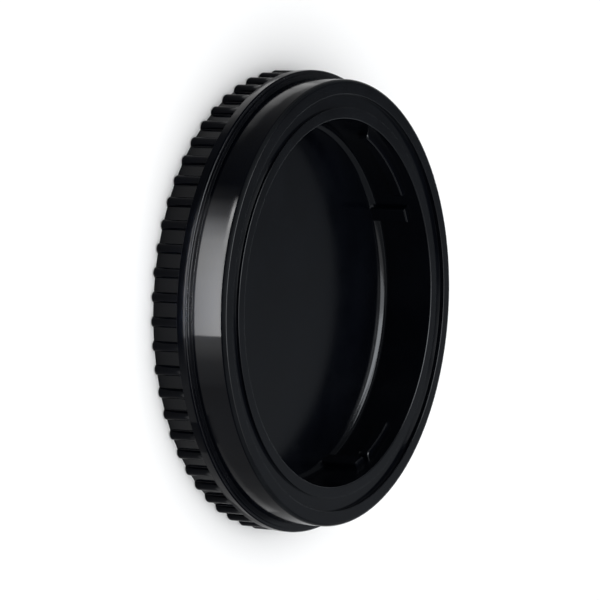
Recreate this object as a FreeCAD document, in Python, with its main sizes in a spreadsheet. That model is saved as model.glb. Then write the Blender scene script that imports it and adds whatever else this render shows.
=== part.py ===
import FreeCAD, Part
import math
import os
import Sketcher
from FreeCAD import Placement, Rotation, Vector

# A rear lens cap, moulded in one piece. It lies on its closed back, on z = 0, with the mouth that takes
# the lens mount facing up. The grip is a ring of half-round ribs under a plain flange, and the collar
# above it carries the bayonet lugs on its inner wall. Lengths are in millimetres, angles in degrees.

NODE = "rear_lens_cap"

# Each driving size is written once here and kept in the sheet under its own name.
SIZES = [
    ("flange_diameter", 69.0),
    ("collar_diameter", 66.5),
    ("mouth_diameter", 54.8),
    ("height", 11.8),
    ("flange_top", 6.1),
    ("flange_thickness", 1.55),
    ("flange_bevel", 0.28),
    ("shoulder_step_width", 0.75),
    ("shoulder_step_height", 0.2),
    ("collar_front_round", 0.65),
    ("inner_lip_share", 0.282),
    ("outer_lip_share", 0.376),
    ("inner_lip_drop", 0.25),
    ("rim_groove_depth", 0.7),
    ("floor_thickness", 1.9),
    ("floor_corner_bevel", 0.9),
    ("back_recess_depth", 1.0),
    ("back_foot_width", 4.6),
    ("rib_count", 60),
    ("rib_width", 1.84),
    ("rib_height", 0.84),
    ("rib_inset", 0.06),
    ("rib_end_bevel", 0.4),
    ("lug_height", 0.95),
    ("lug_front_depth", 2.4),
    ("lug_thickness", 1.7),
    ("lug_end_bevel", 0.6),
    ("upper_lug_angle", 54.0),
    ("upper_lug_span", 32.0),
    ("lower_lug_angle", -51.0),
    ("lower_lug_span", 17.0),
    ("side_lug_angle", 180.0),
    ("side_lug_span", 32.0),
    ("upper_stop_angle", 30.6),
    ("lower_stop_angle", -63.5),
    ("stop_width", 2.4),
    ("stop_height", 0.9),
    ("stop_front_depth", 2.8),
    ("stop_edge_bevel", 0.3),
    ("wall_root", 0.6),
]

# Sizes that follow from the driving ones.
DERIVED = [
    ("flange_radius", "=flange_diameter / 2"),
    ("flange_back", "=flange_top - flange_thickness"),
    ("shoulder_step_radius", "=collar_diameter / 2 + shoulder_step_width"),
    ("collar_foot", "=flange_top + shoulder_step_height"),
    ("collar_radius", "=collar_diameter / 2"),
    ("mouth_radius", "=mouth_diameter / 2"),
    ("collar_wall", "=collar_radius - mouth_radius"),
    ("rim_groove_outer_radius", "=collar_radius - collar_wall * outer_lip_share"),
    ("rim_groove_inner_radius", "=mouth_radius + collar_wall * inner_lip_share"),
    ("rim_groove_floor", "=height - rim_groove_depth"),
    ("inner_lip_top", "=height - inner_lip_drop"),
    ("cavity_floor", "=back_recess_depth + floor_thickness"),
    ("rib_tip_radius", "=flange_radius - rib_inset"),
    ("grip_core_radius", "=rib_tip_radius - rib_height"),
    ("back_recess_radius", "=grip_core_radius - back_foot_width"),
    ("rib_round_radius", "=rib_width / 2"),
    ("rib_round_centre", "=rib_tip_radius - rib_round_radius"),
    ("rib_root_radius", "=grip_core_radius - wall_root"),
    ("rib_bevel_radius", "=rib_tip_radius - rib_end_bevel"),
    ("rib_clear_radius", "=rib_tip_radius + wall_root"),
    ("rib_bevel_top", "=rib_end_bevel + wall_root"),
    ("wall_root_radius", "=mouth_radius + wall_root"),
    ("lug_radius", "=mouth_radius - lug_height"),
    ("lug_front", "=height - lug_front_depth"),
    ("lug_back", "=lug_front - lug_thickness"),
    ("stop_radius", "=mouth_radius - stop_height"),
    ("stop_front", "=height - stop_front_depth"),
    ("stop_length", "=stop_front - cavity_floor"),
]

doc = FreeCAD.newDocument(NODE)
sheet = doc.addObject("Spreadsheet::Sheet", "Dimensions")
for row, (name, value) in enumerate(SIZES + DERIVED, start=1):
    sheet.set(f"A{row}", name)
    sheet.set(f"B{row}", str(value))
    sheet.setAlias(f"B{row}", name)
doc.recompute()
size = {name: float(sheet.get(name)) for name, value in SIZES + DERIVED}

body = doc.addObject("PartDesign::Body", "Cap")
body.Label = NODE


def bind(thing, prop, name):
    """Ties a property of an object to a named size."""
    thing.setExpression(prop, f"Dimensions.{name}")


def new_sketch(name, plane, turn_axis=None, angle=None, level=None):
    """An empty sketch on one of the body's own planes, turned about and raised along the cap's axis."""
    sketch = body.newObject("Sketcher::SketchObject", name)
    support = [feature for feature in body.Origin.OriginFeatures if feature.Role == plane][0]
    sketch.AttachmentSupport = (support, [""])
    sketch.MapMode = "FlatFace"
    if angle:
        sketch.AttachmentOffset = Placement(Vector(), Rotation(turn_axis, size[angle]))
        bind(sketch, ".AttachmentOffset.Rotation.Angle", angle)
    if level:
        bind(sketch, ".AttachmentOffset.Base.z", level)
    return sketch


def dimension(sketch, kind, geometry, point, name):
    """Holds one point of a sketch at a named distance from the sketch's origin."""
    index = sketch.addConstraint(Sketcher.Constraint(kind, -1, 1, geometry, point, size[name]))
    bind(sketch, f"Constraints[{index}]", name)


def join(sketch, chain):
    """Joins each line or arc of a closed chain to the next one, end to start."""
    for first, second in zip(chain, chain[1:] + chain[:1]):
        sketch.addConstraint(Sketcher.Constraint("Coincident", first, 2, second, 1))


def closed_outline(sketch, corners):
    """A closed outline of straight lines through named places, where None is a place on an axis."""
    points = [Vector(size.get(across, 0.0), size.get(up, 0.0), 0) for across, up in corners]
    lines = [sketch.addGeometry(Part.LineSegment(start, end), False)
             for start, end in zip(points, points[1:] + points[:1])]
    join(sketch, lines)
    for line, (across, up) in zip(lines, corners):
        for name, kind, axis in ((across, "DistanceX", -2), (up, "DistanceY", -1)):
            if name:
                dimension(sketch, kind, line, 1, name)
            else:
                sketch.addConstraint(Sketcher.Constraint("PointOnObject", line, 1, axis))


def ring_edges(shape, rings):
    """Names of the round edges of a shape that have the named radius and height."""
    found = []
    for radius, up in rings:
        for number, edge in enumerate(shape.Edges, start=1):
            circle = edge.Curve
            if (isinstance(circle, Part.Circle)
                    and math.isclose(circle.Radius, size[radius], abs_tol=1e-5)
                    and math.isclose(circle.Center.z, size.get(up, 0.0), abs_tol=1e-5)):
                found.append(f"Edge{number}")
    if not found:
        raise RuntimeError(f"no edge at {rings}")
    return found


def dress(kind, name, prop, amount, edges):
    """Rounds or bevels edges of the body's last feature by a named amount."""
    feature = body.newObject(f"PartDesign::{kind}", name)
    feature.Base = (body.Tip if body.Tip != feature else feature.BaseFeature, edges)
    bind(feature, prop, amount)
    body.Tip = feature
    doc.recompute()
    return feature


# The whole section of the cap in one outline, turned about the axis: the recessed back, the core of the
# grip, the flange with its stepped shoulder, the collar, the grooved rim, the mouth and the floor.
section = new_sketch("section", "XZ_Plane")
closed_outline(section, [
    (None, "back_recess_depth"),
    ("back_recess_radius", "back_recess_depth"),
    ("back_recess_radius", None),
    ("grip_core_radius", None),
    ("grip_core_radius", "flange_back"),
    ("flange_radius", "flange_back"),
    ("flange_radius", "flange_top"),
    ("shoulder_step_radius", "flange_top"),
    ("shoulder_step_radius", "collar_foot"),
    ("collar_radius", "collar_foot"),
    ("collar_radius", "height"),
    ("rim_groove_outer_radius", "height"),
    ("rim_groove_outer_radius", "rim_groove_floor"),
    ("rim_groove_inner_radius", "rim_groove_floor"),
    ("rim_groove_inner_radius", "inner_lip_top"),
    ("mouth_radius", "inner_lip_top"),
    ("mouth_radius", "cavity_floor"),
    (None, "cavity_floor"),
])
shell = body.newObject("PartDesign::Revolution", "turned_section")
shell.Profile = section
shell.ReferenceAxis = (section, ["V_Axis"])
shell.Angle = 360
body.Tip = shell
doc.recompute()

# Moulded edges that run right round.
dress("Fillet", "front_round", "Radius", "collar_front_round",
      ring_edges(body.Shape, [("collar_radius", "height")]))
dress("Chamfer", "floor_corner", "Size", "floor_corner_bevel",
      ring_edges(body.Shape, [("mouth_radius", "cavity_floor")]))
dress("Chamfer", "flange_edge", "Size", "flange_bevel",
      ring_edges(body.Shape, [("flange_radius", "flange_top")]))

# One grip rib: a half-round bar that stands on the core and dies into the back of the flange.
rib_sketch = new_sketch("rib_section", "XY_Plane")
rib_half = size["rib_round_radius"]
rib_centre = Vector(size["rib_round_centre"], 0, 0)
root_low = Vector(size["rib_root_radius"], -rib_half, 0)
root_high = Vector(size["rib_root_radius"], rib_half, 0)
crown = rib_sketch.addGeometry(
    Part.ArcOfCircle(Part.Circle(rib_centre, Vector(0, 0, 1), rib_half), -math.pi / 2, math.pi / 2), False)
high_side = rib_sketch.addGeometry(Part.LineSegment(rib_centre + Vector(0, rib_half, 0), root_high), False)
root = rib_sketch.addGeometry(Part.LineSegment(root_high, root_low), False)
low_side = rib_sketch.addGeometry(Part.LineSegment(root_low, rib_centre - Vector(0, rib_half, 0)), False)
rib_sketch.addConstraint(Sketcher.Constraint("Tangent", crown, 2, high_side, 1))
rib_sketch.addConstraint(Sketcher.Constraint("Coincident", high_side, 2, root, 1))
rib_sketch.addConstraint(Sketcher.Constraint("Coincident", root, 2, low_side, 1))
rib_sketch.addConstraint(Sketcher.Constraint("Tangent", low_side, 2, crown, 1))
rib_sketch.addConstraint(Sketcher.Constraint("Horizontal", high_side))
rib_sketch.addConstraint(Sketcher.Constraint("Vertical", root))
rib_sketch.addConstraint(Sketcher.Constraint("PointOnObject", crown, 3, -1))
dimension(rib_sketch, "DistanceX", crown, 3, "rib_round_centre")
dimension(rib_sketch, "DistanceX", root, 1, "rib_root_radius")
rib_radius = rib_sketch.addConstraint(Sketcher.Constraint("Radius", crown, rib_half))
bind(rib_sketch, f"Constraints[{rib_radius}]", "rib_round_radius")

rib = body.newObject("PartDesign::Pad", "rib")
rib.Profile = rib_sketch
bind(rib, "Length", "flange_back")
body.Tip = rib
doc.recompute()

# A sloping cut takes the corner off the rib's free end, and the finished rib is repeated round the core.
square_volume = body.Shape.Volume
end_sketch = new_sketch("rib_end_section", "XZ_Plane")
closed_outline(end_sketch, [
    ("rib_bevel_radius", None),
    ("rib_clear_radius", None),
    ("rib_clear_radius", "rib_bevel_top"),
])
rib_end = body.newObject("PartDesign::Pocket", "rib_end")
rib_end.Profile = end_sketch
rib_end.Midplane = True
bind(rib_end, "Length", "rib_width")
body.Tip = rib_end
doc.recompute()
if body.Shape.Volume >= square_volume:
    raise RuntimeError("the rib's end was not cut")
ribs = body.newObject("PartDesign::PolarPattern", "grip_ribs")
ribs.Originals = [rib, rib_end]
ribs.Axis = (rib_sketch, ["N_Axis"])
ribs.Angle = 360
bind(ribs, "Occurrences", "rib_count")
body.Tip = ribs
doc.recompute()


def add_lug(name):
    """A bayonet lug: a short bar along the mouth's wall, centred on its own angle."""
    sketch = new_sketch(f"{name}_section", "XZ_Plane", Vector(0, 1, 0), f"{name}_angle")
    closed_outline(sketch, [
        ("wall_root_radius", "lug_front"),
        ("lug_radius", "lug_front"),
        ("lug_radius", "lug_back"),
        ("wall_root_radius", "lug_back"),
    ])
    lug = body.newObject("PartDesign::Revolution", name)
    lug.Profile = sketch
    lug.ReferenceAxis = (sketch, ["V_Axis"])
    lug.Midplane = True
    bind(lug, "Angle", f"{name}_span")
    body.Tip = lug
    doc.recompute()


for lug_name in ("upper_lug", "lower_lug", "side_lug"):
    add_lug(lug_name)

stop_half = size["stop_width"] / 2


def add_stop(name):
    """A turning stop: a block from the floor up the wall, beside the end of a lug."""
    sketch = new_sketch(f"{name}_section", "XY_Plane", Vector(0, 0, 1), f"{name}_angle", "cavity_floor")
    corners = [Vector(size["stop_radius"], -stop_half, 0), Vector(size["wall_root_radius"], -stop_half, 0),
               Vector(size["wall_root_radius"], stop_half, 0), Vector(size["stop_radius"], stop_half, 0)]
    lines = [sketch.addGeometry(Part.LineSegment(start, finish), False)
             for start, finish in zip(corners, corners[1:] + corners[:1])]
    join(sketch, lines)
    for line, direction in ((0, "Horizontal"), (2, "Horizontal"), (3, "Vertical")):
        sketch.addConstraint(Sketcher.Constraint(direction, lines[line]))
    dimension(sketch, "DistanceX", lines[0], 1, "stop_radius")
    dimension(sketch, "DistanceX", lines[1], 1, "wall_root_radius")
    across = sketch.addConstraint(Sketcher.Constraint("DistanceY", lines[1], 1, lines[1], 2,
                                                      size["stop_width"]))
    bind(sketch, f"Constraints[{across}]", "stop_width")
    sketch.addConstraint(Sketcher.Constraint("Symmetric", lines[1], 1, lines[1], 2, -1))
    stop = body.newObject("PartDesign::Pad", name)
    stop.Profile = sketch
    bind(stop, "Length", "stop_length")
    body.Tip = stop
    doc.recompute()


for stop_name in ("upper_stop", "lower_stop"):
    add_stop(stop_name)


def free_edges(shape, radius, levels):
    """Names of the straight edges with both ends on one radius and at least one end at a given level."""
    found = []
    for number, edge in enumerate(shape.Edges, start=1):
        ends = [vertex.Point for vertex in edge.Vertexes]
        on_radius = [math.isclose(math.hypot(end.x, end.y), radius, abs_tol=1e-4) for end in ends]
        at_level = [math.isclose(end.z, level, abs_tol=1e-4) for end in ends for level in levels]
        if isinstance(edge.Curve, Part.Line) and all(on_radius) and any(at_level):
            found.append(f"Edge{number}")
    return found


dress("Chamfer", "lug_ends", "Size", "lug_end_bevel",
      free_edges(body.Shape, size["lug_radius"], [size["lug_front"], size["lug_back"]]))
dress("Chamfer", "stop_edges", "Size", "stop_edge_bevel",
      free_edges(body.Shape, math.hypot(size["stop_radius"], stop_half), [size["stop_front"]]))

doc.recompute()
for item in doc.Objects:
    if "Invalid" in item.State or "Error" in item.State:
        raise RuntimeError(f"{item.Name} failed: {item.State}")
solid = body.Shape
if solid.isNull() or not solid.isValid() or len(solid.Solids) != 1:
    raise RuntimeError(f"{NODE} is not one valid solid")

os.makedirs("parts", exist_ok=True)
solid.exportStep(f"parts/{body.Label}.step")
print(NODE, "volume", round(solid.Volume, 1), "box", solid.BoundBox)
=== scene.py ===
# %% [markdown]
# # A rear lens cap
# The cap that closes the back of a camera lens is one black plastic moulding: a shallow cup with a
# grooved rim, a polished collar, a flange, and a ring of finger ribs behind it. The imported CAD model
# gives the frame and the overall size. This lesson models the same moulding more finely, with its small
# moulded rounds, gives it its finishes and lights it on a pale floor.

# %% Load the frame
import math
import bpy
from mathutils import Matrix, Vector


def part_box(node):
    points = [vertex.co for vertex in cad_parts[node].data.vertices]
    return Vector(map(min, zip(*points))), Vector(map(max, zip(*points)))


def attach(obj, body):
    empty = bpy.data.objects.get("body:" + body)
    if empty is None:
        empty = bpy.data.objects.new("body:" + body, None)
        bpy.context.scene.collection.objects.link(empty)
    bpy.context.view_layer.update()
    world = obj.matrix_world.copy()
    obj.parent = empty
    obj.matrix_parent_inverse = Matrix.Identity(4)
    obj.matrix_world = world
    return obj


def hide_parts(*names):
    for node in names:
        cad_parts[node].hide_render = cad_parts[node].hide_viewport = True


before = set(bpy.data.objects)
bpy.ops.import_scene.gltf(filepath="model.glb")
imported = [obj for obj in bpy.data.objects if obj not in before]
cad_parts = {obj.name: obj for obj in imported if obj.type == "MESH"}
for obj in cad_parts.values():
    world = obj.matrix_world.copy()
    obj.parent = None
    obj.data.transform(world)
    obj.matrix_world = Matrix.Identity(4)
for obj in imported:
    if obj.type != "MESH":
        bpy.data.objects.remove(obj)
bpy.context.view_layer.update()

CAP = "rear_lens_cap"
METRES_TO_MM = 1000
low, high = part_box(CAP)
flange_radius = (high[0] - low[0]) / 2 * METRES_TO_MM
cap_height = (high[2] - low[2]) * METRES_TO_MM
print("flange radius", round(flange_radius, 2), "height", round(cap_height, 2), "mm")

# %% [markdown]
# ## Working by hand, in code
# Blender's modelling tools act on what is selected, just as they do under the mouse. A few helpers keep
# that tidy: they take up whole pieces, start a piece from a single point, draw a line of points by
# extruding, select points by where they are, and merge what lies on one spot. Everything is deselected
# before a piece is started, because the loaded nodes come in selected. Lengths are in millimetres until
# the moulding is finished.

# %% Helpers for modelling
REACH = 0.02
ANGLE_REACH = 0.0001
MERGE_REACH = 0.002


def take(*pieces):
    """Selects only these pieces, in object mode, and makes the first one active."""
    bpy.ops.object.select_all(action="DESELECT")
    for piece in pieces:
        piece.select_set(True)
    bpy.context.view_layer.objects.active = pieces[0]


def start_piece(name, place):
    """A new mesh in edit mode that holds one selected point, made from a plane merged at its middle."""
    bpy.ops.object.select_all(action="DESELECT")
    bpy.ops.mesh.primitive_plane_add(size=1, location=(0, 0, 0))
    piece = bpy.context.object
    piece.name = piece.data.name = name
    bpy.ops.object.mode_set(mode="EDIT")
    bpy.ops.mesh.select_mode(type="VERT")
    bpy.ops.mesh.merge(type="CENTER")
    bpy.ops.transform.translate(value=place)
    return piece


def leave_piece(piece):
    """Leaves edit mode, prints how many faces the piece has and gives it back."""
    bpy.ops.object.mode_set(mode="OBJECT")
    print(piece.name, "faces", len(piece.data.polygons))
    return piece


def draw_on(points):
    """Extrudes the selected point, which is at the first of these places, through the others in turn."""
    for here, there in zip(points, points[1:]):
        step = Vector(there) - Vector(here)
        bpy.ops.mesh.extrude_region_move(TRANSFORM_OT_translate={"value": step})


def pick(piece, test, mode="VERT"):
    """Selects only the points, or the edges, of the piece in edit mode whose middles pass a test."""
    bpy.ops.mesh.select_mode(type=mode)
    bpy.ops.mesh.select_all(action="DESELECT")
    bpy.ops.object.mode_set(mode="OBJECT")
    points = piece.data.vertices
    if mode == "VERT":
        for point in points:
            point.select = test(point.co)
    else:
        for edge in piece.data.edges:
            begin, end = edge.vertices
            edge.select = test((points[begin].co + points[end].co) / 2)
    bpy.ops.object.mode_set(mode="EDIT")


def near(radius, level):
    """A test for points at one distance from the cap's axis and at one height."""
    return lambda p: abs(math.hypot(p.x, p.y) - radius) < REACH and abs(p.z - level) < REACH


def merge_doubles():
    """Merges the points of the mesh in edit mode that lie on one spot, and selects everything."""
    bpy.ops.mesh.select_all(action="SELECT")
    bpy.ops.mesh.remove_doubles(threshold=MERGE_REACH)


def tidy_solid():
    """Merges the doubles of the mesh in edit mode and turns its faces outwards."""
    merge_doubles()
    bpy.ops.mesh.normals_make_consistent(inside=False)


# %% [markdown]
# ## The turned section
# All of the cap except its ribs, lugs and stops is round, so half of its section says it all. The outline
# starts under the flange, climbs over the shoulder and the collar, dips into the groove of the rim, goes
# down the mouth and ends in the middle of the floor. Where the wall meets the floor there is a flat bevel
# with eased ends, which catches a line of light. Drawing the outline square and then rounding its corners
# with a vertex bevel keeps each size plain to read.

# %% Sizes of the section
flange_back = 4.55
flange_top = 6.1
flange_lower_bevel = 0.06
collar_radius = 33.25
shoulder_width = 0.75
shoulder_height = 0.2
shoulder_radius = collar_radius + shoulder_width
collar_foot = flange_top + shoulder_height
groove_outer = 31.05
groove_inner = 29.05
groove_depth = 0.7
groove_floor = cap_height - groove_depth
inner_lip_drop = 0.25
inner_lip_top = cap_height - inner_lip_drop
mouth_radius = 27.4
cavity_floor = 2.9
floor_corner_height = 0.55
floor_corner_width = 0.8
floor_corner_top = cavity_floor + floor_corner_height
floor_flat_radius = mouth_radius - floor_corner_width
recess_radius = 29.0
recess_depth = 1.0
foot_join = 32.2

front_outline = [
    (flange_radius - flange_lower_bevel, flange_back),
    (flange_radius, flange_back + flange_lower_bevel),
    (flange_radius, flange_top),
    (shoulder_radius, flange_top),
    (shoulder_radius, collar_foot),
    (collar_radius, collar_foot),
    (collar_radius, cap_height),
    (groove_outer, cap_height),
    (groove_outer, groove_floor),
    (groove_inner, groove_floor),
    (groove_inner, inner_lip_top),
    (mouth_radius, inner_lip_top),
    (mouth_radius, floor_corner_top),
    (floor_flat_radius, cavity_floor),
    (0, cavity_floor),
]
back_outline = [(0, recess_depth), (recess_radius, recess_depth), (recess_radius, 0), (foot_join, 0)]

# Each corner that is rounded: its place, its round and the number of steps in it.
front_rounds = [
    (flange_radius, flange_top, 0.28, 5),
    (shoulder_radius, collar_foot, 0.08, 3),
    (collar_radius, collar_foot, 0.05, 2),
    (collar_radius, cap_height, 0.65, 9),
    (groove_outer, cap_height, 0.08, 3),
    (groove_outer, groove_floor, 0.06, 2),
    (groove_inner, groove_floor, 0.06, 2),
    (groove_inner, inner_lip_top, 0.08, 3),
    (mouth_radius, inner_lip_top, 0.15, 4),
    (mouth_radius, floor_corner_top, 0.45, 7),
    (floor_flat_radius, cavity_floor, 0.2, 4),
]
back_rounds = [
    (recess_radius, recess_depth, 0.4, 4),
    (recess_radius, 0, 0.2, 3),
]

# %% Draw the section and turn it
TURN_STEPS = 240


def turned_surface(name, outline, rounds):
    """A surface turned about the cap's axis from an outline of radii and heights with rounded corners."""
    points = [(radius, 0, level) for radius, level in outline]
    piece = start_piece(name, points[0])
    draw_on(points)
    for radius, level, amount, steps in rounds:
        pick(piece, near(radius, level))
        bpy.ops.mesh.bevel(offset=amount, segments=steps, affect="VERTICES")
    bpy.ops.mesh.select_all(action="SELECT")
    bpy.ops.mesh.spin(steps=TURN_STEPS, angle=math.tau, center=(0, 0, 0), axis=(0, 0, 1))
    merge_doubles()
    return leave_piece(piece)


front = turned_surface("front_surface", front_outline, front_rounds)
back = turned_surface("back_surface", back_outline, back_rounds)

# %% [markdown]
# ## One pitch of the grip
# The grip is sixty ribs with round crowns and short flanks, which give the fingers a hold. Their free ends
# are eased at the back, and they run up to the flange. One pitch is enough to model: half a groove, a rib
# and another half groove. The grooves follow the cap's core, the flanks stand on it, and the crown is a
# point spun round the rib's own middle. The strip is then extruded up to the flange in a few rows, of
# which the lowest are pressed in to ease the rib's end.

# %% Draw one pitch
RIB_COUNT = 60
CROWN_STEPS = 14
ROOT_STEPS = 3
rib_setback = 0.08
rib_tip = flange_radius - rib_setback
rib_round = 0.75
rib_root_round = 0.08
rib_middle = rib_tip - rib_round
core_radius = 33.58
half_pitch = math.pi / RIB_COUNT
root_angle = math.asin(rib_round / core_radius)
groove_angle = (half_pitch + root_angle) / 2


def on_core(angle):
    """A point of the core's circle at an angle from the rib's middle."""
    return (core_radius * math.cos(angle), core_radius * math.sin(angle), 0)


def at_root(place):
    """Whether a point of the strip lies where the core meets a flank of the rib."""
    off = abs(math.atan2(place.y, place.x)) - root_angle
    return near(core_radius, 0)(place) and abs(off) < ANGLE_REACH


crown_start = (rib_middle, -rib_round, 0)
crown_end = (rib_middle, rib_round, 0)
grip = start_piece("grip_surface", on_core(-half_pitch))
draw_on([on_core(-half_pitch), on_core(-groove_angle), on_core(-root_angle), crown_start])
bpy.ops.mesh.spin(steps=CROWN_STEPS, angle=-math.pi, center=(rib_middle, 0, 0), axis=(0, 0, 1))
draw_on([crown_end, on_core(root_angle), on_core(groove_angle), on_core(half_pitch)])
pick(grip, at_root)
bpy.ops.mesh.bevel(offset=rib_root_round, segments=ROOT_STEPS, affect="VERTICES")

# %% Raise the strip, ease the rib's end and repeat it
rib_end_round = 0.5
eased_levels = [0.0, 0.1, 0.25]
row_levels = [*eased_levels, rib_end_round, flange_back]
bpy.ops.mesh.select_all(action="SELECT")
for level, above in zip(row_levels, row_levels[1:]):
    bpy.ops.mesh.extrude_region_move(TRANSFORM_OT_translate={"value": (0, 0, above - level)})

rib_stand = rib_tip - core_radius
for level in eased_levels:
    pressed = rib_end_round - math.sqrt(rib_end_round ** 2 - (rib_end_round - level) ** 2)
    pick(grip, lambda p: abs(p.z - level) < REACH and p.x > core_radius)
    bpy.ops.transform.resize(value=(1 - pressed / rib_stand, 1, 1), center_override=(core_radius, 0, 0))

bpy.ops.mesh.select_all(action="SELECT")
bpy.ops.mesh.spin(steps=RIB_COUNT - 1, dupli=True, angle=2 * half_pitch * (RIB_COUNT - 1),
                  center=(0, 0, 0), axis=(0, 0, 1))
merge_doubles()
leave_piece(grip)

# %% [markdown]
# ## One closed moulding
# The two turned surfaces and the grip meet in two flat rings, one under the flange and one on the foot.
# Each ring lies between two open loops of edges in one plane, so filling those loops closes the skin
# without bending anything that shows.

# %% Join the surfaces
take(front, back, grip)
bpy.ops.object.join()
moulding = bpy.context.object
moulding.name = moulding.data.name = "cap_moulding"


def open_edges(piece):
    """Selects the open edges of a piece in edit mode and gives their number."""
    bpy.ops.mesh.select_mode(type="EDGE")
    bpy.ops.mesh.select_all(action="DESELECT")
    bpy.ops.mesh.select_non_manifold(extend=False, use_non_contiguous=False, use_verts=False)
    bpy.ops.object.mode_set(mode="OBJECT")
    count = sum(edge.select for edge in piece.data.edges)
    bpy.ops.object.mode_set(mode="EDIT")
    return count


def close_ring(piece, level):
    """Fills the flat ring between the two open loops at one height."""
    open_edges(piece)
    bpy.ops.object.mode_set(mode="OBJECT")
    points = piece.data.vertices
    for point in points:
        point.select = point.select and abs(point.co.z - level) < REACH
    for edge in piece.data.edges:
        edge.select = edge.select and all(points[end].select for end in edge.vertices)
    bpy.ops.object.mode_set(mode="EDIT")
    bpy.ops.mesh.fill(use_beauty=True)


bpy.ops.object.mode_set(mode="EDIT")
for ring_level in (flange_back, 0.0):
    close_ring(moulding, ring_level)
tidy_solid()
print("open edges left", open_edges(moulding))
leave_piece(moulding)

# %% [markdown]
# ## The bayonet lugs and the stops
# Three lugs stand on the mouth's wall and hold the lens's bayonet, and blocks beside two of them stop the
# turn. A lug is a short length of a ring, so its section is drawn where the lug begins and spun through
# the lug's span. Its ends and edges are rounded with bevels. Each is a solid that reaches a little into
# the wall, so that a Boolean union can weld it on.

# %% Model the lugs
LUG_STEPS_PER_DEGREE = 0.5
LUG_END_STEPS = 4
LUG_EDGE_STEPS = 3
wall_root = 0.6
lug_stand = 0.95
lug_radius = mouth_radius - lug_stand
lug_depth = 2.4
lug_thickness = 1.7
lug_front = cap_height - lug_depth
lug_back = lug_front - lug_thickness
lug_end_round = 0.6
lug_edge_round = 0.22
sharp_angle = math.radians(35)
lug_section = [(mouth_radius + wall_root, lug_front), (lug_radius, lug_front),
               (lug_radius, lug_back), (mouth_radius + wall_root, lug_back)]

# The angle of each lug's middle and its span, both in degrees.
lug_places = {"upper_lug": (54.0, 32.0), "lower_lug": (-51.0, 17.0), "side_lug": (180.0, 32.0)}


def bayonet_lug(name, middle, span):
    """A lug centred on one angle, in degrees, with round ends and eased edges."""
    turn = math.radians(middle)
    half_span = math.radians(span / 2)
    begin = math.radians(middle - span / 2)
    corners = [(r * math.cos(begin), r * math.sin(begin), z) for r, z in lug_section]
    lug = start_piece(name, corners[0])
    draw_on(corners)
    bpy.ops.mesh.select_all(action="SELECT")
    bpy.ops.mesh.edge_face_add()
    bpy.ops.mesh.spin(steps=round(span * LUG_STEPS_PER_DEGREE), angle=-math.radians(span),
                      center=(0, 0, 0), axis=(0, 0, 1))
    tidy_solid()

    def at_end(place):
        off = abs(math.remainder(math.atan2(place.y, place.x) - turn, math.tau)) - half_span
        inward = math.hypot(place.x, place.y) - lug_radius
        return abs(off) < ANGLE_REACH and abs(inward) < REACH

    pick(lug, at_end, "EDGE")
    bpy.ops.mesh.bevel(offset=lug_end_round, segments=LUG_END_STEPS, affect="EDGES")
    bpy.ops.mesh.select_mode(type="EDGE")
    bpy.ops.mesh.select_all(action="DESELECT")
    bpy.ops.mesh.edges_select_sharp(sharpness=sharp_angle)
    bpy.ops.mesh.bevel(offset=lug_edge_round, segments=LUG_EDGE_STEPS, affect="EDGES")
    tidy_solid()
    return leave_piece(lug)


additions = [bayonet_lug(name, *place) for name, place in lug_places.items()]

# %% Model the stops
STOP_STEPS = 4
stop_width = 2.4
stop_stand = 0.9
stop_depth = 2.8
stop_inner = mouth_radius - stop_stand
stop_outer = mouth_radius + wall_root
stop_front = cap_height - stop_depth
stop_foot = cavity_floor - wall_root
stop_edge_round = 0.4
stop_places = {"upper_stop": 30.6, "lower_stop": -63.5}


def turning_stop(name, angle):
    """A block up the mouth's wall at one angle, in degrees, with its free edges rounded."""
    bpy.ops.object.select_all(action="DESELECT")
    bpy.ops.mesh.primitive_cube_add(size=1, location=(0, 0, 0))
    stop = bpy.context.object
    stop.name = stop.data.name = name
    bpy.ops.object.mode_set(mode="EDIT")
    bpy.ops.transform.resize(value=(stop_outer - stop_inner, stop_width, stop_front - stop_foot))
    bpy.ops.transform.translate(value=((stop_outer + stop_inner) / 2, 0, (stop_front + stop_foot) / 2))
    pick(stop, lambda p: p.x < stop_inner + REACH and p.z > stop_foot + REACH, "EDGE")
    bpy.ops.mesh.bevel(offset=stop_edge_round, segments=STOP_STEPS, affect="EDGES")
    bpy.ops.mesh.select_all(action="SELECT")
    bpy.ops.transform.rotate(value=-math.radians(angle), orient_axis="Z", center_override=(0, 0, 0))
    tidy_solid()
    return leave_piece(stop)


additions += [turning_stop(name, angle) for name, angle in stop_places.items()]

# %% Weld them to the moulding
for addition in additions:
    take(moulding)
    bpy.ops.object.modifier_add(type="BOOLEAN")
    weld = moulding.modifiers[-1]
    weld.operation = "UNION"
    weld.solver = "EXACT"
    weld.object = addition
    bpy.ops.object.modifier_apply(modifier=weld.name)
    take(addition)
    bpy.ops.object.delete()
print("welded faces", len(moulding.data.polygons))

# %% [markdown]
# ## To real size, with clean shading
# The moulding was drawn in millimetres, because distances far below one unit are lost to rounding in
# some tools. It is now shrunk to metres inside its mesh, so the object itself stays unscaled. Smooth
# shading with weighted normals keeps the flats flat and lets the small rounds carry the highlights.

# %% Shrink and smooth
smooth_angle = math.radians(40)
take(moulding)
bpy.ops.object.mode_set(mode="EDIT")
bpy.ops.mesh.select_mode(type="VERT")
tidy_solid()
print("open edges after welding", open_edges(moulding))
bpy.ops.mesh.select_all(action="SELECT")
bpy.ops.transform.resize(value=[1 / METRES_TO_MM] * 3, center_override=(0, 0, 0))
bpy.ops.object.mode_set(mode="OBJECT")
bpy.ops.object.shade_smooth_by_angle(angle=smooth_angle)
bpy.ops.object.modifier_add(type="WEIGHTED_NORMAL")
weighting = moulding.modifiers[-1]
weighting.keep_sharp = True
bpy.ops.object.modifier_apply(modifier=weighting.name)
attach(moulding, "root")
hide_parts(CAP)

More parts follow.
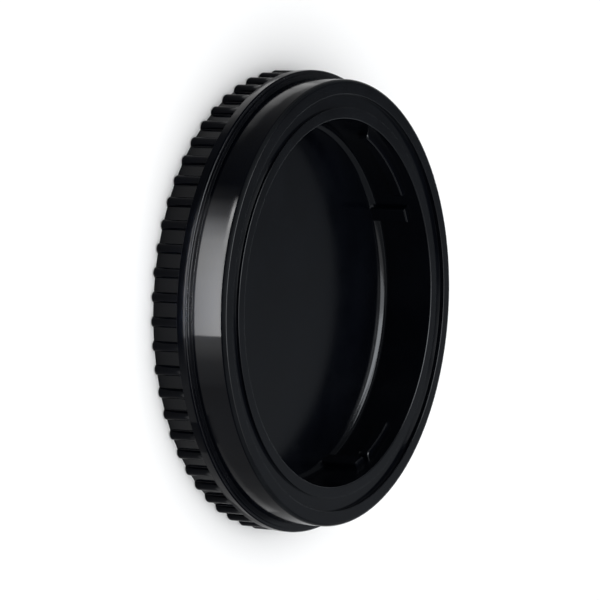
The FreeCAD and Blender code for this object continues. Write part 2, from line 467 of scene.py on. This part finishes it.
# %% [markdown]
# ## Camera
# The photograph was taken with a long lens from the mouth's side, about thirty degrees above the plane of
# the rim, with the cap's axis running to the right. The camera is put on that line of sight and rolled
# until the axis lies as it does there.

# %% Place the camera
view_azimuth = math.radians(-90.9)
view_elevation = math.radians(30.75)
view_roll = math.radians(3.0)
view_distance = 0.597
focal_length = 240
sensor_width = 36
sight_limit = 50
aim = Vector((0, 0, flange_top / METRES_TO_MM))
aim_right = 0.0015
aim_up = -0.00022

to_camera = Vector((math.sin(view_azimuth) * math.cos(view_elevation),
                    -math.cos(view_azimuth) * math.cos(view_elevation), math.sin(view_elevation)))
level_right = (-to_camera).cross(Vector((0, 0, 1))).normalized()
level_up = level_right.cross(-to_camera)
camera_right = level_up * math.cos(view_roll) - level_right * math.sin(view_roll)
camera_up = -level_up * math.sin(view_roll) - level_right * math.cos(view_roll)
camera_place = aim + to_camera * view_distance - camera_right * aim_right - camera_up * aim_up

camera_data = bpy.data.cameras.new("photo_camera")
camera_data.lens = focal_length
camera_data.sensor_width = sensor_width
camera_data.clip_end = sight_limit
camera = bpy.data.objects.new("photo_camera", camera_data)
bpy.context.scene.collection.objects.link(camera)
camera.matrix_world = (Matrix.Translation(camera_place)
                       @ Matrix((camera_right, camera_up, to_camera)).transposed().to_4x4())
bpy.context.scene.camera = camera
print("camera at", [round(c, 4) for c in camera_place])

# %% [markdown]
# ## Shader maths
# A finish is a small graph of nodes. Writing the graph as sums and products in Python reads better than
# a list of links, so one class wraps a socket: maths on it adds Math nodes, and one method makes any
# other kind of node.

# %% A class that wraps a socket


class Field:
    """A value that changes over a surface. Sums, differences and products of fields add Math nodes."""

    def __init__(self, tree, socket):
        self.tree = tree
        self.socket = socket

    def node(self, kind, settings, inputs, output=0):
        """Adds a node with its settings, then its values and links, and gives one of its outputs."""
        made = self.tree.nodes.new(kind)
        for name, value in settings.items():
            setattr(made, name, value)
        for name, value in inputs.items():
            if isinstance(value, Field):
                self.tree.links.new(value.socket, made.inputs[name])
            else:
                made.inputs[name].default_value = value
        return Field(self.tree, made.outputs[output])

    def maths(self, operation, first, second):
        """Adds a Math node on two values, either of which may be a field."""
        return self.node("ShaderNodeMath", {"operation": operation}, {0: first, 1: second})

    def __add__(self, other):
        return self.maths("ADD", self, other)

    def __sub__(self, other):
        return self.maths("SUBTRACT", self, other)

    def __rsub__(self, other):
        return self.maths("SUBTRACT", other, self)

    def __mul__(self, other):
        return self.maths("MULTIPLY", self, other)

    __radd__ = __add__
    __rmul__ = __mul__

    def axis(self, name):
        """One of the three numbers of a place or a direction."""
        return self.node("ShaderNodeSeparateXYZ", {}, {"Vector": self}, name)

    def ramp(self, low, high):
        """A soft step from 0 to 1 between two values."""
        return self.node("ShaderNodeMapRange", {"interpolation_type": "SMOOTHSTEP"},
                         {"Value": self, "From Min": low, "From Max": high})

    def noise(self, scale, detail=2.0):
        """Cloudy noise over a place, from 0 to 1, at a number of clouds per metre."""
        return self.node("ShaderNodeTexNoise", {}, {"Vector": self, "Scale": scale, "Detail": detail})


# %% [markdown]
# ## The black plastic
# The whole cap is one black resin in skins of different gloss. The collar and the side of the flange are
# polished and so dark that only bright lamps show in them, as sharp streaks. The rim, the mouth and the
# floor have the plain gloss of the mould. The flats of the flange and the shoulder are a little rougher and
# carry a paler colour that is painted sheen, beside darker edges, and the upward faces of the collar's
# front edge carry a paler colour that is a painted highlight. In the grip the grooves shine more than the
# crowns, and the underside is satin. One function makes a skin from its gloss and its grain: the colour
# and the gloss drift a little, as on any handled plastic, and a bump gives the grain.

# %% Make the skins
handling_scale = 160
handling_detail = 3.0
handled_tint = 1.35
tint_range = (0.3, 0.7)
gloss_range = (0.25, 0.75)
noise_middle = 0.5
grain_share = 0.5


def black_plastic(name, colour, gloss, drift, grain_scale, grain_depth, specular):
    """A skin of the black plastic: its roughness and drift, and the scale and depth of its grain."""
    finish = bpy.data.materials.new(name)
    finish.use_nodes = True
    tree = finish.node_tree
    shader = tree.nodes["Principled BSDF"]
    shader.inputs["Specular IOR Level"].default_value = specular
    coordinates = tree.nodes.new("ShaderNodeTexCoord")
    place = Field(tree, coordinates.outputs["Object"])

    handled = place.noise(handling_scale, handling_detail)
    fine = place.noise(grain_scale)
    tinted = [channel * handled_tint for channel in colour]
    tint = place.node("ShaderNodeMix", {"data_type": "RGBA"},
                      {"Factor": handled.ramp(*tint_range), "A": (*colour, 1), "B": (*tinted, 1)}, "Result")
    handled_drift = drift * (handled.ramp(*gloss_range) - noise_middle)
    grain_drift = drift * grain_share * (fine - noise_middle)
    roughness = gloss + handled_drift + grain_drift
    bump = place.node("ShaderNodeBump", {}, {"Strength": 1.0, "Distance": grain_depth, "Height": fine},
                      "Normal")
    tree.links.new(tint.socket, shader.inputs["Base Color"])
    tree.links.new(roughness.socket, shader.inputs["Roughness"])
    tree.links.new(bump.socket, shader.inputs["Normal"])
    return finish


plastic_colour = (0.0006, 0.0009, 0.0019)
# A paler colour that is painted sheen, on the upward flats of the flange and the shoulder.
sheen_painted_colour = (0.003, 0.0033, 0.0045)
# A paler colour that is a painted highlight, on the upward faces of the collar's front edge.
highlight_painted_colour = (0.006, 0.0066, 0.0076)

# Each skin: its colour, roughness and drift, its grains per metre and their depth, and its specular level.
skin_plan = {
    "satin_black": (plastic_colour, 0.28, 0.08, 2600, 0.000006, 0.06),
    "polished_black": (plastic_colour, 0.12, 0.05, 900, 0.000002, 0.015),
    "moulded_black": (plastic_colour, 0.16, 0.06, 2200, 0.000004, 0.5),
    # Painted sheen: a paler colour standing in for light on the flats of the flange and the shoulder.
    "sheen_painted_black": (sheen_painted_colour, 0.24, 0.08, 2600, 0.000004, 0.5),
    "groove_black": (plastic_colour, 0.14, 0.06, 2200, 0.000003, 0.14),
    "edge_black": (plastic_colour, 0.14, 0.05, 900, 0.000002, 0.004),
    "crown_black": (plastic_colour, 0.16, 0.06, 2200, 0.000003, 0.05),
    # Painted highlight: a paler colour standing in for light on the top of the collar's front edge.
    "highlight_painted_black": (highlight_painted_colour, 0.2, 0.06, 2200, 0.000003, 0.015),
}
skins = [black_plastic(name, *values) for name, values in skin_plan.items()]

# %% Put each skin on its zone
moulding.data.materials.clear()
for skin in skins:
    moulding.data.materials.append(skin)
SATIN, POLISHED, MOULDED, SHEEN_PAINTED, GROOVE, EDGE, CROWN, HIGHLIGHT_PAINTED = range(len(skins))

# The height of a face's normal, of length 1, tells flats, slopes, edges and undersides apart.
flat_rise = 0.93
gentle_rise = 0.75
front_edge_rise = 0.3
least_rise = 0.05
underside_fall = -0.6

# How far some zones reach past the sizes that they start from, in millimetres.
core_margin = 0.1
groove_margin = 0.15
back_margin = 0.5
front_edge_margin = 0.6


def skin_zone(place, normal):
    """The skin of a face of the cap, from its middle in millimetres and its normal."""
    radius = math.hypot(place.x, place.y)
    outside = radius > mouth_radius + wall_root
    under_collar = outside and place.z < collar_foot + REACH
    # Upward flats under the collar take the paler colour of painted sheen.
    if under_collar and place.z > flange_back and normal.z > gentle_rise:
        return SHEEN_PAINTED
    if outside and place.z < collar_foot and normal.z > least_rise:
        return EDGE
    if outside and normal.z > flat_rise:
        return MOULDED
    if place.z < flange_back and radius > core_radius - core_margin and normal.z > underside_fall:
        return GROOVE if radius < core_radius + groove_margin else CROWN
    if under_collar or place.z < recess_depth + back_margin:
        return POLISHED if place.z > flange_back + flange_lower_bevel else SATIN
    # The upward faces of the collar's front edge take the paler colour of a painted highlight.
    if radius > collar_radius - front_edge_margin and place.z > collar_foot:
        return HIGHLIGHT_PAINTED if normal.z > front_edge_rise else POLISHED
    return MOULDED


zone_counts = [0] * len(skins)
for face in moulding.data.polygons:
    face.material_index = skin_zone(face.center * METRES_TO_MM, face.normal)
    zone_counts[face.material_index] += 1
print("faces by skin", dict(zip(skin_plan, zone_counts)))

# %% [markdown]
# ## Floor and light
# The cap lies on a wide pale floor. A wide fill lamp lights the floor evenly and doesn't show in the
# gloss, a dimmer lamp hangs overhead, and the world is bright at the horizon and dim above, as a studio
# is. Three key lamps hang over the side of the cap that is uppermost in the photograph. They show only as
# reflections, such as the line of light at the corner of the cap's floor.

# %% Lay the floor
floor_size = 6
floor_colour = (0.93, 0.93, 0.93, 1)
floor_roughness = 0.9
bpy.ops.object.select_all(action="DESELECT")
bpy.ops.mesh.primitive_plane_add(size=floor_size, location=(0, 0, 0))
floor = bpy.context.object
floor.name = "floor"
floor_finish = bpy.data.materials.new("pale_floor")
floor_finish.use_nodes = True
floor_shader = floor_finish.node_tree.nodes["Principled BSDF"]
floor_shader.inputs["Base Color"].default_value = floor_colour
floor_shader.inputs["Roughness"].default_value = floor_roughness
floor_shader.inputs["Specular IOR Level"].default_value = 0.0
floor.data.materials.append(floor_finish)

# %% Light the world
sky_colour = (0.88, 0.94, 1.0, 1)
horizon_glow = 0.9
ceiling_glow = 0.126
horizon_top = math.sin(math.radians(6))
ceiling_edge = math.sin(math.radians(17))
bright_side = 1.5
side_blend = 0.075

world = bpy.data.worlds.new("studio")
bpy.context.scene.world = world
world.use_nodes = True
sky_tree = world.node_tree
background = sky_tree.nodes["Background"]
sky = Field(sky_tree, sky_tree.nodes.new("ShaderNodeTexCoord").outputs["Generated"])
ceiling = ceiling_glow * (bright_side - sky.axis("Y").ramp(-side_blend, side_blend))
sky_glow = horizon_glow - (horizon_glow - ceiling) * sky.axis("Z").ramp(horizon_top, ceiling_edge)
background.inputs["Color"].default_value = sky_colour
sky_tree.links.new(sky_glow.socket, background.inputs["Strength"])

# %% Hang the soft lamps


def soft_lamp(name, place, target, width, height, glow):
    """A soft rectangular lamp of even brightness that faces a target and that the camera doesn't see."""
    data = bpy.data.lights.new(name, "AREA")
    data.shape = "RECTANGLE"
    data.size = width
    data.size_y = height
    data.energy = glow * math.pi * width * height
    lamp = bpy.data.objects.new(name, data)
    lamp.location = place
    lamp.rotation_euler = (Vector(target) - Vector(place)).to_track_quat("-Z", "Y").to_euler()
    lamp.visible_camera = False
    bpy.context.scene.collection.objects.link(lamp)
    return lamp


def hanging_lamp(name, place, width, height, glow):
    """A soft lamp that faces straight down."""
    return soft_lamp(name, place, (*place[:2], 0), width, height, glow)


# Each hanging lamp: its place, its two sizes and its glow.
lamp_plan = {
    "fill": ((-0.7, -0.4, 1.2), 3.0, 3.0, 1.5),
    "overhead": ((0, 0, 1.1), 1.8, 0.9, 0.5),
    "key": ((-0.2, 0.26, 0.9), 1.0, 0.4, 4.6),
    "key_far": ((-0.3, 0.75, 0.9), 0.8, 0.5, 3.2),
    "key_edge": ((-0.15, 0.1, 0.9), 1.4, 0.5, 2.0),
}
key_colour = (0.9, 0.95, 1.0)
hung = {name: hanging_lamp(name, *values) for name, values in lamp_plan.items()}
hung["fill"].visible_glossy = False
for name in ("key", "key_far", "key_edge"):
    hung[name].data.color = key_colour
    hung[name].visible_diffuse = False

# %% [markdown]
# ## Lamps beside the collar
# From the camera's height the collar mirrors the floor just in front of it, so the long streak that it
# has in the photograph comes from low strips of lamps close to the collar. They show only as reflections,
# as a strip lamp does in a studio. The two brightest have a grid before them, which keeps their glare off
# the sides, and each mark on those is raised by what the grid holds back.

# %% Plan the strips
strip_radius = 37.0
strip_glow = 210.0
grid_spread = math.radians(120)
plain_spread = math.pi

# Each strip: its lower and upper height, the spread of its lamps and its marks. A mark has a turn round
# the cap, in degrees, and the brightness of the strip's lower and upper edge there.
strip_plan = {
    "strip": (4.2, 8.95, grid_spread, [
        (205, 0.0, 0.0), (197.5, 0.035, 0.035), (192.5, 0.12, 0.12), (190, 0.15, 0.15),
        (190, 0.68, 1.0), (181.5, 0.68, 1.05), (176, 0.7, 1.0), (170.5, 0.66, 0.9), (164.5, 0.6, 0.72),
        (160, 0.4, 0.36), (156, 0.13, 0.09), (151, 0.02, 0.01), (146.5, 0.0, 0.0)]),
    "strip_edge": (8.2, 8.9, grid_spread, [
        (167.5, 0.0, 0.0), (161.5, 0.3, 0.3), (158, 0.72, 0.72), (155, 0.95, 0.95), (152.5, 0.5, 0.5),
        (150.5, 0.0, 0.0)]),
    "strip_low": (2.0, 4.4, plain_spread, [
        (262, 0.012, 0.004), (247, 0.016, 0.002), (235, 0.022, 0.004), (223.5, 0.012, 0.003),
        (213.5, 0.004, 0.001), (205, 0.0, 0.0)]),
    "strip_side": (2.4, 9.0, plain_spread, [
        (250, 0.0, 0.0), (241, 0.002, 0.0015), (232, 0.006, 0.005), (223.5, 0.014, 0.011),
        (213.5, 0.021, 0.018), (203, 0.025, 0.023), (195, 0.011, 0.011), (190, 0.0, 0.0)]),
    "strip_high": (1.7, 5.0, plain_spread, [
        (133, 0.0, 0.0), (123.5, 0.036, 0.004), (110.5, 0.04, 0.01), (97, 0.01, 0.006),
        (88, 0.007, 0.005)]),
}

# %% Set the strips beside the collar
# The ray that the collar mirrors swings by this share of a lamp's turn away from the camera.
ray_swing = 0.8
camera_turn = 180


def grid_pass(turn):
    """The share of a lamp's glow that a grid before it lets through towards the collar and the camera."""
    limit = math.tan(grid_spread / 2)
    swing = math.radians(ray_swing * (turn - camera_turn))
    slant = math.acos(math.cos(swing) * to_camera.xy.length)
    return (limit - math.tan(slant)) / (limit - grid_spread / 2)


def strip_lamp(name, begin, end, bottom, top, spread):
    """A flat lamp along one stretch of a strip, with a brightness that blends between its four corners."""
    begin_turn, begin_lower, begin_upper = begin
    end_turn, end_lower, end_upper = end
    middle = math.radians(begin_turn + end_turn) / 2
    half_turn = math.radians(begin_turn - end_turn) / 2
    level = (bottom + top) / 2
    spot = Vector((strip_radius * math.cos(middle), strip_radius * math.sin(middle), level)) / METRES_TO_MM
    width = 2 * strip_radius * math.tan(half_turn) / METRES_TO_MM
    height = (top - bottom) / METRES_TO_MM
    lamp = soft_lamp(name, spot, (0, 0, spot.z), width, height, strip_glow)
    lamp.visible_diffuse = False
    lamp.data.spread = spread
    lamp.data.use_nodes = True
    tree = lamp.data.node_tree
    place = Field(tree, tree.nodes.new("ShaderNodeNewGeometry").outputs["Parametric"])
    along = place.axis("X")
    lower_edge = end_lower + (begin_lower - end_lower) * along
    upper_edge = end_upper + (begin_upper - end_upper) * along
    brightness = lower_edge + (upper_edge - lower_edge) * place.axis("Y")
    tree.links.new(brightness.socket, tree.nodes["Emission"].inputs["Strength"])


def lamp_strip(name, bottom, top, spread, marks):
    """A row of lamps through the marks, between two heights in millimetres."""
    if spread < plain_spread:
        marks = [(turn, lower / grid_pass(turn), upper / grid_pass(turn)) for turn, lower, upper in marks]
    for number, (begin, end) in enumerate(zip(marks, marks[1:])):
        if begin[0] > end[0]:
            strip_lamp(f"{name}_{number}", begin, end, bottom, top, spread)


for name, values in strip_plan.items():
    lamp_strip(name, *values)

# %% [markdown]
# ## Colour view
# The colours are shown as they are, without a film look.

# %% Show the colours as they are
bpy.context.scene.view_settings.view_transform = "Standard"
